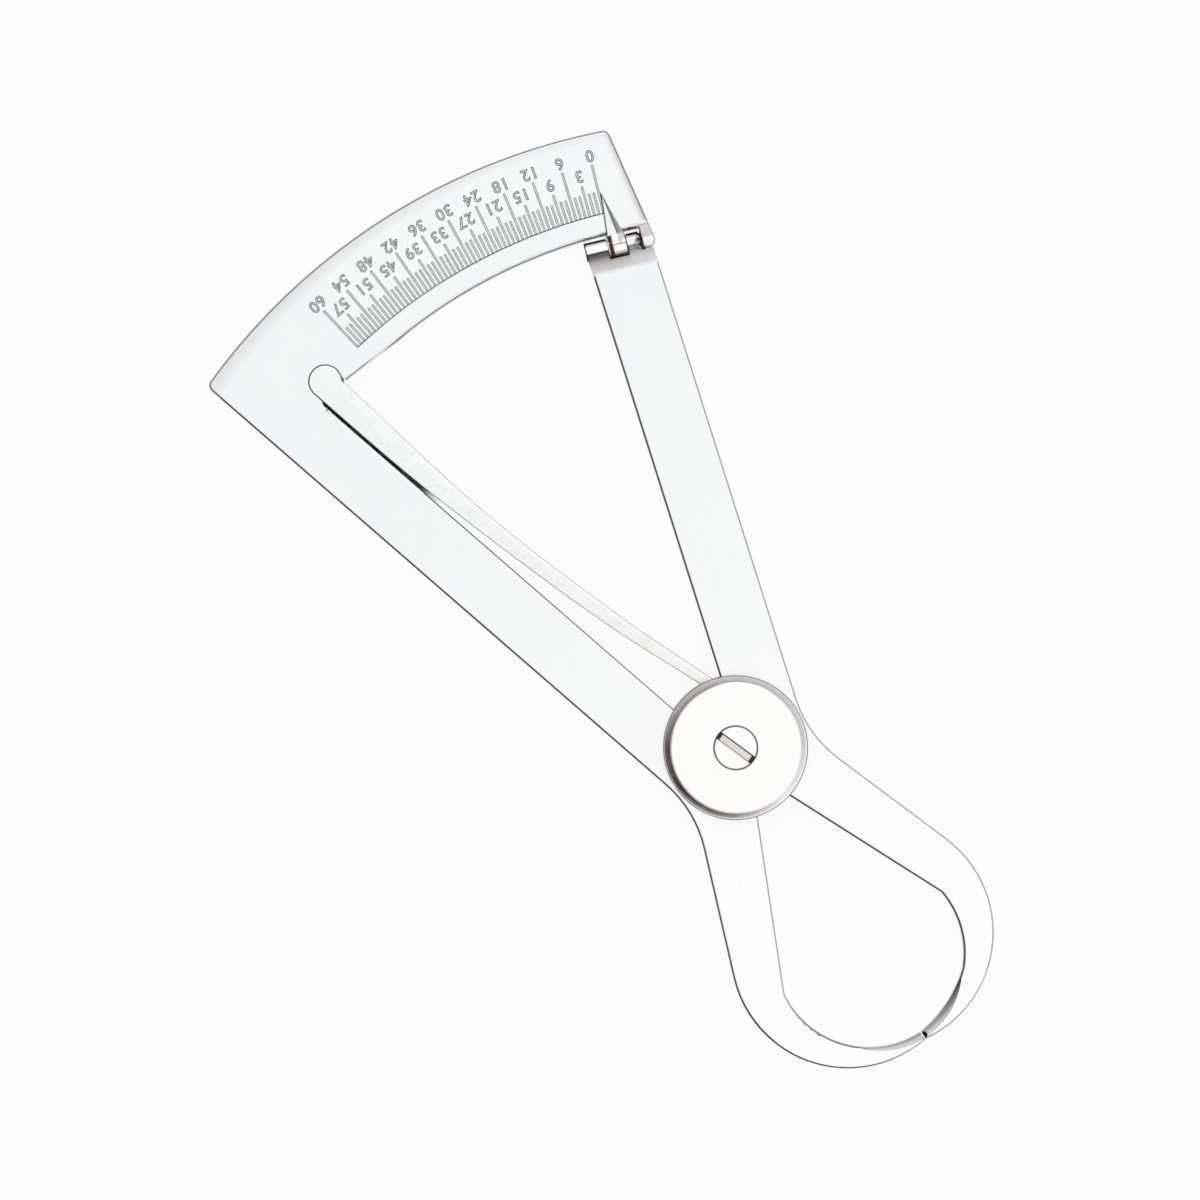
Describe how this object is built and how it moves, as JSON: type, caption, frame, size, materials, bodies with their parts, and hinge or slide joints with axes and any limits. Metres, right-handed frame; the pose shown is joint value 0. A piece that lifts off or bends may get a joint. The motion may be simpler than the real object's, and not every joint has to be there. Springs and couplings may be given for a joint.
{
  "type": "diamond gauge",
  "caption": "Pocket caliper gauge with two pivoted plates, bowed jaws, a graduated sector scale, a hinged pointer and a flat return spring.",
  "frame": {"origin": "on the pivot axis, in the flat face of the rear cap that the gauge lies on", "axes": "+Y runs from the jaw tips through the pivot to the sector scale, +Z looks out of the graduated face, +X is to the right when the graduated face is seen"},
  "size_m": [0.0474, 0.0986, 0.004],
  "materials": {
    "plated_sheet": "satin nickel plate",
    "polished_plating": "polished nickel plate",
    "spring_steel": "matt, lightly speckled",
    "polished_steel": "polished",
    "plain_steel": "bright turned"
  },
  "bodies": {
    "scale_body": {"scale_plate": "plated_sheet", "return_spring": "spring_steel", "rear_cap": "polished_plating", "pivot_post": "plain_steel", "front_cap": "polished_plating", "pivot_screw": "polished_plating", "front_washer": "plain_steel", "lap_washer": "plain_steel", "rear_shim": "plain_steel", "cap_pins": "plain_steel"},
    "arm_body": {"pointer_arm": "plated_sheet", "pointer_pin": "plain_steel"},
    "pointer_body": {"pointer": "polished_steel"}
  },
  "joints": [
    {"name": "jaw_open", "type": "hinge", "parent": "scale_body", "child": "arm_body", "pos_m": [0, 0, 0.00165], "axis": [0, 0, 1], "range_deg": [0, 29.5], "stiffness_Nm_per_rad": 0.06, "springref_deg": -11.46, "deforming": ["return_spring"]},
    {"name": "pointer_lift", "type": "hinge", "parent": "arm_body", "child": "pointer_body", "pos_m": [0.01756, 0.04852, 0.00165], "axis": [0.9403, -0.3404, 0], "range_deg": [0, 60]}
  ]
}
